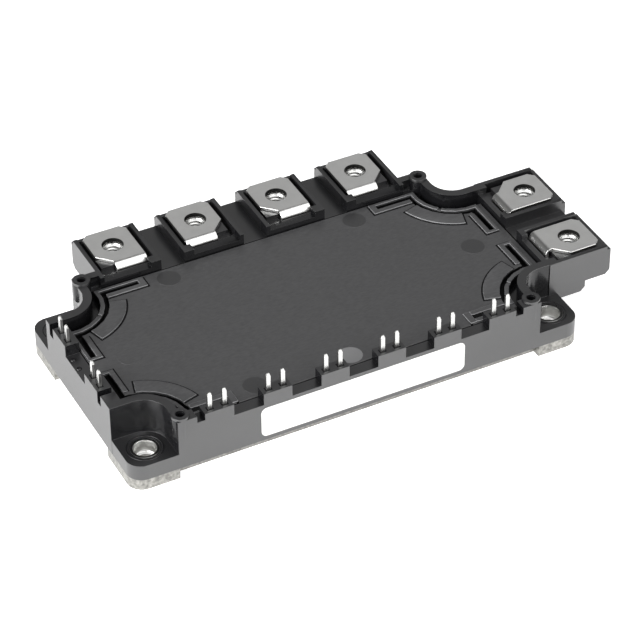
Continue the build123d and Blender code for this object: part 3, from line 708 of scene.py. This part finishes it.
def lid_marks(name, places, finish=None):
    """Faint round marks that ejector pins leave in the lid."""
    bm = bmesh.new()
    for x, y in places:
        place = Matrix.Translation((x * MM, y * MM, (LID_TOP_Z + MARK_HEIGHT / 2) * MM))
        bmesh.ops.create_cone(
            bm, cap_ends=True, segments=MARK_STEPS, radius1=MARK_R * MM,
            radius2=(MARK_R - MARK_HEIGHT) * MM, depth=MARK_HEIGHT * MM, matrix=place,
        )
    show(bm, name, "lid_plastic", finish)


def nut_bodies():
    """Six nuts with a lead-in at the mouth of the thread.

    The bore of the solid is widened to a shell, and a ring with the lead-in fills it.
    """
    bm = merged_copy("terminal_nuts")
    for vert in bm.verts:
        for x, y in TERMINALS.values():
            axis = Vector((x, y)) * MM
            away = vert.co.xy - axis
            if away.length < NUT_SHELL_R * MM:
                vert.co.xy = axis + away.normalized() * NUT_SHELL_R * MM
    for x, y in TERMINALS.values():
        lathe(bm, [
            (NUT_SHELL_R, NUT_BOTTOM_Z),
            (NUT_SHELL_R, NUT_TOP_Z),
            (NUT_MOUTH_R, NUT_TOP_Z),
            (NUT_MOUTH_R, NUT_MOUTH_Z),
            (NUT_BORE_R, NUT_BORE_TOP_Z),
            (NUT_BORE_R, NUT_BOTTOM_Z),
        ], x, y)
    bmesh.ops.recalc_face_normals(bm, faces=bm.faces)
    piece = show(bm, "terminal_nut_bodies", "nut_steel")
    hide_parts("terminal_nuts")


def nut_threads():
    """Thread in the bore of each nut, a ridge wound upwards."""
    bm = bmesh.new()
    turns = (NUT_BORE_TOP_Z - NUT_BOTTOM_Z) / THREAD_PITCH - 1
    low = NUT_BOTTOM_Z + THREAD_START
    profile = (
        (THREAD_R + THREAD_ROOT, low),
        (THREAD_R - THREAD_DEPTH, low + THREAD_WIDTH / 2),
        (THREAD_R + THREAD_ROOT, low + THREAD_WIDTH),
    )
    for x, y in TERMINALS.values():
        verts = [bm.verts.new(((x + r) * MM, y * MM, z * MM)) for r, z in profile]
        edges = [bm.edges.new((verts[0], verts[1])), bm.edges.new((verts[1], verts[2]))]
        bmesh.ops.spin(
            bm, geom=verts + edges, cent=(x * MM, y * MM, 0), axis=(0, 0, 1),
            dvec=(0, 0, THREAD_PITCH * MM / THREAD_STEPS),
            angle=2 * pi * turns, steps=int(THREAD_STEPS * turns),
        )
    bmesh.ops.recalc_face_normals(bm, faces=bm.faces)
    show(bm, "nut_threads", "nut_steel")


def hole_edges():
    """Punched wall of each terminal's hole, down to the nut, dark as painted shade inside the hole."""
    bm = bmesh.new()
    inner = TONGUE_HOLE_R - HOLE_EDGE_THICKNESS
    for x, y in TERMINALS.values():
        lathe(bm, [
            (inner, NUT_MOUTH_Z),
            (TONGUE_HOLE_R, NUT_MOUTH_Z),
            (TONGUE_HOLE_R, HOLE_EDGE_TOP_Z),
            (inner, HOLE_EDGE_TOP_Z),
        ], x, y)
    bmesh.ops.recalc_face_normals(bm, faces=bm.faces)
    show(bm, "punched_hole_edges", "terminal_tin", painted_hole_shade())


def add_block(bm, xs, ys, zs, place=Matrix()):
    """Adds a box to bm, given by its ends in millimetres, and moved to a place."""
    ends = [sorted(pair) for pair in (xs, ys, zs)]
    centre = Vector([(low + high) / 2 for low, high in ends]) * MM
    size = [(high - low) * MM for low, high in ends]
    shape = Matrix.Translation(centre) @ Matrix.Diagonal((*size, 1))
    bmesh.ops.create_cube(bm, size=1.0, matrix=place @ shape)


def add_sheet(bm, outline, zs):
    """Adds a flat piece to bm from its outline and the ends of its height, in millimetres."""
    low, high = zs
    face = bm.faces.new([bm.verts.new((x * MM, y * MM, low * MM)) for x, y in outline])
    lifted = bmesh.ops.extrude_face_region(bm, geom=[face])
    top = [v for v in lifted["geom"] if isinstance(v, bmesh.types.BMVert)]
    bmesh.ops.translate(bm, verts=top, vec=(0, 0, (high - low) * MM))


def neck_plugs():
    """Plastic beside each neck, where the strip is cut narrow."""
    bm = bmesh.new()
    for node, (x, y) in TERMINALS.items():
        side = NECK_CUT_SIDE[node]
        turn = -pi / 2 if node in END_TERMINALS else 0.0
        place = Matrix.Translation((x * MM, y * MM, 0)) @ Matrix.Rotation(turn, 4, "Z")
        xs = (side * (NECK_HALF - NECK_CUT + PLUG_GAP), side * NECK_HALF)
        add_block(bm, xs, PLUG_YS, PLUG_ZS, place)
    bmesh.ops.recalc_face_normals(bm, faces=bm.faces)
    show(bm, "neck_plugs", "case_plastic")


def plate_point(corner, r, angle, aside=0.0):
    """Point about a corner's mounting hole; angle 0 is the inward diagonal, aside a shift across."""
    sx, sy = corner
    turn = atan2(-sy, -sx) + angle
    x = sx * MOUNT_X + r * cos(turn) - aside * sin(turn)
    y = sy * MOUNT_Y + r * sin(turn) + aside * cos(turn)
    return x, y


def lid_strips():
    """Strips of painted shade round the arc plates and along the banks, as dark outlines."""
    bm = bmesh.new()
    zs = (LID_TOP_Z - STRIP_SUNK, LID_TOP_Z + STRIP_HEIGHT)
    spread = radians(PLATE_HALF_ANGLE)
    outer = PLATE_REACH + STRIP_WIDTH
    angles = [spread * (2 * i / ARC_STEPS - 1) for i in range(ARC_STEPS + 1)]
    for corner in CORNERS:
        inner_arc = [plate_point(corner, PLATE_REACH, angle) for angle in angles]
        outer_arc = [plate_point(corner, outer, angle) for angle in reversed(angles)]
        add_sheet(bm, inner_arc + outer_arc, zs)
        for end in (-1, 1):
            add_sheet(bm, [
                plate_point(corner, PLATE_START, end * spread),
                plate_point(corner, outer, end * spread),
                plate_point(corner, outer, end * spread, end * STRIP_WIDTH),
                plate_point(corner, PLATE_START, end * spread, end * STRIP_WIDTH),
            ], zs)
        sx, sy = corner
        strips = BACK_STRIPS + END_STRIPS if sy > 0 else END_STRIPS
        for xs, ys in strips:
            add_block(bm, [sx * x for x in xs], [sy * y for y in ys], zs)
    bmesh.ops.recalc_face_normals(bm, faces=bm.faces)
    show(bm, "painted_shade_lid_strips", "lid_plastic", PAINTED_SHADE)


def front_banks():
    """Raised banks round the slots at the front corners of the lid."""
    banks = (
        ((BANK_START_X, SLOT_XS[0]), BANK_YS),
        (SLOT_XS, (SLOT_YS[1], BANK_YS[1])),
        (SLOT_XS, (BANK_YS[0], SLOT_YS[0])),
    )
    bm = bmesh.new()
    for side in (-1, 1):
        for xs, ys in banks:
            add_block(bm, [side * x for x in xs], ys, (LID_TOP_Z - BANK_SUNK, BANK_TOP_Z))
    round_edges(show(bm, "front_banks", "lid_plastic"), BANK_EDGE)


def painted_shade_slot_floors():
    """Floors of the slots between the front banks, raised to a height where the lid's colour is darkened:
    painted shade for a deep slot.
    """
    bm = bmesh.new()
    for side in (-1, 1):
        add_block(bm, [side * x for x in SLOT_XS], SLOT_YS, (LID_TOP_Z - BANK_SUNK, SLOT_FLOOR_Z))
    show(bm, "painted_shade_slot_floors", "lid_plastic")


def end_block_cheeks():
    """Thickened wall where the pair of end blocks meets the corner wells."""
    bm = bmesh.new()
    for side in (-1, 1):
        add_block(bm, CHEEK_XS, [side * y for y in CHEEK_YS], CHEEK_ZS)
    show(bm, "end_block_cheeks", "case_plastic")


def wall_bumps():
    """Two low round bumps on the left wall."""
    bm = bmesh.new()
    for x, y in BUMP_PLACES:
        place = Matrix.Translation((x * MM, y * MM, WALL_TOP_Z * MM))
        bmesh.ops.create_uvsphere(
            bm, u_segments=BUMP_STEPS, v_segments=BUMP_STEPS // 2, radius=BUMP_R * MM,
            matrix=place @ Matrix.Diagonal((1, 1, BUMP_FLATNESS, 1)),
        )
    show(bm, "wall_bumps", "case_plastic")


def pin_gap_shade():
    """Patch of painted shade for the gap round the foot of each pin; its reach across the wall is fixed.
    """
    bm = bmesh.new()
    for node in frame["nodes"]:
        if node.startswith("control_pin"):
            low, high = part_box(node)
            xs, ys = ((low[i] / MM - PIN_GAP, high[i] / MM + PIN_GAP) for i in range(2))
            at_front = low[1] < -BOSS_Y * MM
            if at_front:
                ys = (PIN_Y - PIN_GAP_REACH, PIN_Y + PIN_GAP_REACH)
            else:
                xs = (PIN_X - PIN_GAP_REACH, PIN_X + PIN_GAP_REACH)
            add_block(bm, xs, ys, PIN_GAP_ZS)
    show(bm, "pin_gap_shade", "case_plastic", PAINTED_SHADE)


def label_sheet():
    """Bare paper label with rounded corners, in place of its plain solid."""
    low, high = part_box("label")
    bm = bmesh.new()
    corners = ((low[0], low[2]), (high[0], low[2]), (high[0], high[2]), (low[0], high[2]))
    bm.faces.new([bm.verts.new((x, high[1], z)) for x, z in corners])
    bmesh.ops.bevel(
        bm, geom=bm.verts, offset=LABEL_CORNER_R * MM, offset_type="OFFSET",
        segments=LABEL_CORNER_STEPS, profile=0.5, affect="VERTICES", material=-1,
    )
    sheet = bmesh.ops.extrude_face_region(bm, geom=list(bm.faces))
    front = [v for v in sheet["geom"] if isinstance(v, bmesh.types.BMVert)]
    bmesh.ops.translate(bm, verts=front, vec=(0, low[1] - high[1], 0))
    bmesh.ops.recalc_face_normals(bm, faces=bm.faces)
    piece = show(bm, "paper_label", "label_paper")
    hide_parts("label")


def add_camera():
    """Camera at the photograph's viewing angle."""
    az = radians(CAMERA_AZIMUTH)
    el = radians(CAMERA_ELEVATION)
    roll = radians(CAMERA_ROLL)
    back = Vector((sin(az) * cos(el), -cos(az) * cos(el), sin(el)))
    level = Vector((cos(az), sin(az), 0))
    raised = back.cross(level)
    right = cos(roll) * level - sin(roll) * raised
    up = sin(roll) * level + cos(roll) * raised
    place = (Vector(CAMERA_TARGET) + back * CAMERA_DISTANCE) * MM
    lens = bpy.data.cameras.new("camera")
    lens.sensor_fit = "HORIZONTAL"
    lens.sensor_width = CAMERA_SENSOR
    lens.lens = CAMERA_LENS
    lens.clip_start = CAMERA_CLIP * MM
    camera = bpy.data.objects.new("camera", lens)
    camera.matrix_world = Matrix.Translation(place) @ Matrix((right, up, back)).transposed().to_4x4()
    bpy.context.scene.collection.objects.link(camera)
    bpy.context.scene.camera = camera


def add_softbox(name, place, size, power):
    """A rectangular soft lamp that faces the middle of the module."""
    lamp = bpy.data.lights.new(name, "AREA")
    lamp.shape = "RECTANGLE"
    lamp.size, lamp.size_y = size
    lamp.energy = power
    box = bpy.data.objects.new(name, lamp)
    box.location = place
    aim = Vector(LAMP_AIM) - Vector(place)
    box.rotation_euler = aim.to_track_quat("-Z", "Y").to_euler()
    bpy.context.scene.collection.objects.link(box)


def seen_directly(tree):
    """Output that is 1 for camera, glossy and transmission rays, and 0 for the rest."""
    rays = add_node(tree, "ShaderNodeLightPath")
    first = calculate(tree, "MAXIMUM", rays.outputs["Is Camera Ray"], rays.outputs["Is Glossy Ray"])
    return calculate(tree, "MAXIMUM", first, rays.outputs["Is Transmission Ray"])


def add_floor():
    """Plain white floor that still shows the module's shadow."""
    bm = bmesh.new()
    bmesh.ops.create_grid(bm, x_segments=1, y_segments=1, size=FLOOR_REACH)
    mesh = bpy.data.meshes.new("floor")
    bm.to_mesh(mesh)
    bm.free()
    settings = {
        "Base Color": tint("f0f0f0"),
        "Roughness": FLOOR_ROUGHNESS,
        "Emission Color": tint("ffffff"),
    }
    material, tree, shader = new_material("white_floor", settings)
    glow = calculate(tree, "MULTIPLY", seen_directly(tree), FLOOR_GLOW)
    tree.links.new(glow, shader.inputs["Emission Strength"])
    mesh.materials.append(material)
    floor = bpy.data.objects.new("floor", mesh)
    bpy.context.scene.collection.objects.link(floor)


def add_surroundings():
    """Even light from all round, dimmer than the white floor."""
    world = bpy.data.worlds.new("studio")
    bpy.context.scene.world = world
    world.use_nodes = True
    background = world.node_tree.nodes["Background"]
    background.inputs["Color"].default_value = tint("ffffff")
    background.inputs["Strength"].default_value = FILL_LIGHT


# Finishes of the solids, as those without a piece of their own are shown plain
for node, solid in frame["nodes"].items():
    solid.data.materials.clear()
    solid.data.materials.append(FINISHES[SLOT_OF[node]])

# Pieces of the module
rounded_piece("case", "moulded_case", CASE_EDGE)
rounded_piece("lid", "moulded_lid", LID_EDGE)
rounded_piece("base_plate", "nickel_base_plate", BASE_EDGE)
for node, (x, y) in TERMINALS.items():
    terminal_strip(node, x, y)
for node in frame["nodes"]:
    if node.startswith("control_pin"):
        rounded_piece(node, node + "_blade", PIN_EDGE)
sleeves()
ear_lips()
board_bosses()
lid_marks("plain_ejector_marks", PLAIN_MARKS)
lid_marks("dark_ejector_marks", DARK_MARKS, pressed_lid("dark_pressed_pbt", "232324"))
lid_marks("pale_ejector_mark", PALE_MARKS, pressed_lid("pale_pressed_pbt", "717172"))
nut_bodies()
nut_threads()
hole_edges()
neck_plugs()
lid_strips()
front_banks()
painted_shade_slot_floors()
end_block_cheeks()
wall_bumps()
pin_gap_shade()
label_sheet()

# Camera, floor and lights
add_camera()
add_floor()
add_surroundings()
for name, settings in SOFTBOXES.items():
    add_softbox(name, **settings)

bpy.context.scene.view_settings.view_transform = "Standard"
